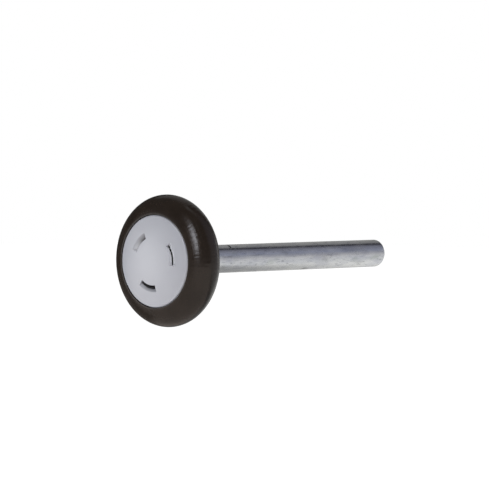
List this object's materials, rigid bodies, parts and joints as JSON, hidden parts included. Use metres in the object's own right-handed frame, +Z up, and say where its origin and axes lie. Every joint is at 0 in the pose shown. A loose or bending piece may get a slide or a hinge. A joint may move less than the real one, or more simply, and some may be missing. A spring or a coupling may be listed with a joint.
{
  "type": "garage door roller",
  "caption": "Round-treaded nylon roller on a shielded ball bearing, with a snap-in cap and a plain steel stem, that guides a sectional door along its track.",
  "frame": {"origin": "centre of the wheel, on the stem's axis and midway between the tyre's two side faces", "axes": "+Y along the stem, away from the wheel, so the cap faces -Y; +Z up; +X to the right of the cap"},
  "size_m": [0.046, 0.1181, 0.046],
  "materials": {
    "tyre_nylon": "satin moulded nylon",
    "cap_plastic": "pale grey satin moulding",
    "stem_zinc": "mottled zinc plating",
    "washer_zinc": "zinc plated",
    "ring_steel": "ground bearing steel",
    "shield_steel": "pressed sheet steel",
    "cage_steel": "pressed sheet steel",
    "rivet_steel": "plain steel",
    "ball_steel": "polished steel"
  },
  "bodies": {
    "stem": {"shaft": "stem_zinc", "head_washer": "washer_zinc", "bearing_inner_ring": "ring_steel"},
    "wheel": {"tyre": "tyre_nylon", "cap": "cap_plastic", "bearing_outer_ring": "ring_steel", "front_shield": "shield_steel", "rear_shield": "shield_steel"},
    "cage": {"cage_front": "cage_steel", "cage_rear": "cage_steel", "cage_rivet_1": "rivet_steel", "cage_rivet_2": "rivet_steel", "cage_rivet_3": "rivet_steel", "cage_rivet_4": "rivet_steel", "cage_rivet_5": "rivet_steel", "cage_rivet_6": "rivet_steel", "cage_rivet_7": "rivet_steel", "cage_rivet_8": "rivet_steel"},
    "ball_1": {"ball_1": "ball_steel"},
    "ball_2": {"ball_2": "ball_steel"},
    "ball_3": {"ball_3": "ball_steel"},
    "ball_4": {"ball_4": "ball_steel"},
    "ball_5": {"ball_5": "ball_steel"},
    "ball_6": {"ball_6": "ball_steel"},
    "ball_7": {"ball_7": "ball_steel"},
    "ball_8": {"ball_8": "ball_steel"}
  },
  "joints": [
    {"name": "wheel_spin", "type": "hinge", "parent": "stem", "child": "wheel", "pos_m": [0, 0, 0], "axis": [0, 1, 0], "continuous": true},
    {"name": "cage_turn", "type": "hinge", "parent": "stem", "child": "cage", "pos_m": [0, 0.0012, 0], "axis": [0, 1, 0], "continuous": true},
    {"name": "ball_1_spin", "type": "hinge", "parent": "cage", "child": "ball_1", "pos_m": [0.00978, 0.0012, 0.00208], "axis": [0, 1, 0], "continuous": true},
    {"name": "ball_2_spin", "type": "hinge", "parent": "cage", "child": "ball_2", "pos_m": [0.00545, 0.0012, 0.00839], "axis": [0, 1, 0], "continuous": true},
    {"name": "ball_3_spin", "type": "hinge", "parent": "cage", "child": "ball_3", "pos_m": [-0.00208, 0.0012, 0.00978], "axis": [0, 1, 0], "continuous": true},
    {"name": "ball_4_spin", "type": "hinge", "parent": "cage", "child": "ball_4", "pos_m": [-0.00839, 0.0012, 0.00545], "axis": [0, 1, 0], "continuous": true},
    {"name": "ball_5_spin", "type": "hinge", "parent": "cage", "child": "ball_5", "pos_m": [-0.00978, 0.0012, -0.00208], "axis": [0, 1, 0], "continuous": true},
    {"name": "ball_6_spin", "type": "hinge", "parent": "cage", "child": "ball_6", "pos_m": [-0.00545, 0.0012, -0.00839], "axis": [0, 1, 0], "continuous": true},
    {"name": "ball_7_spin", "type": "hinge", "parent": "cage", "child": "ball_7", "pos_m": [0.00208, 0.0012, -0.00978], "axis": [0, 1, 0], "continuous": true},
    {"name": "ball_8_spin", "type": "hinge", "parent": "cage", "child": "ball_8", "pos_m": [0.00839, 0.0012, -0.00545], "axis": [0, 1, 0], "continuous": true}
  ],
  "couplings": [
    {"joint": "cage_turn", "follows": "wheel_spin", "ratio": 0.61905},
    {"joint": "ball_1_spin", "follows": "wheel_spin", "ratio": 1.9809},
    {"joint": "ball_2_spin", "follows": "wheel_spin", "ratio": 1.9809},
    {"joint": "ball_3_spin", "follows": "wheel_spin", "ratio": 1.9809},
    {"joint": "ball_4_spin", "follows": "wheel_spin", "ratio": 1.9809},
    {"joint": "ball_5_spin", "follows": "wheel_spin", "ratio": 1.9809},
    {"joint": "ball_6_spin", "follows": "wheel_spin", "ratio": 1.9809},
    {"joint": "ball_7_spin", "follows": "wheel_spin", "ratio": 1.9809},
    {"joint": "ball_8_spin", "follows": "wheel_spin", "ratio": 1.9809}
  ]
}
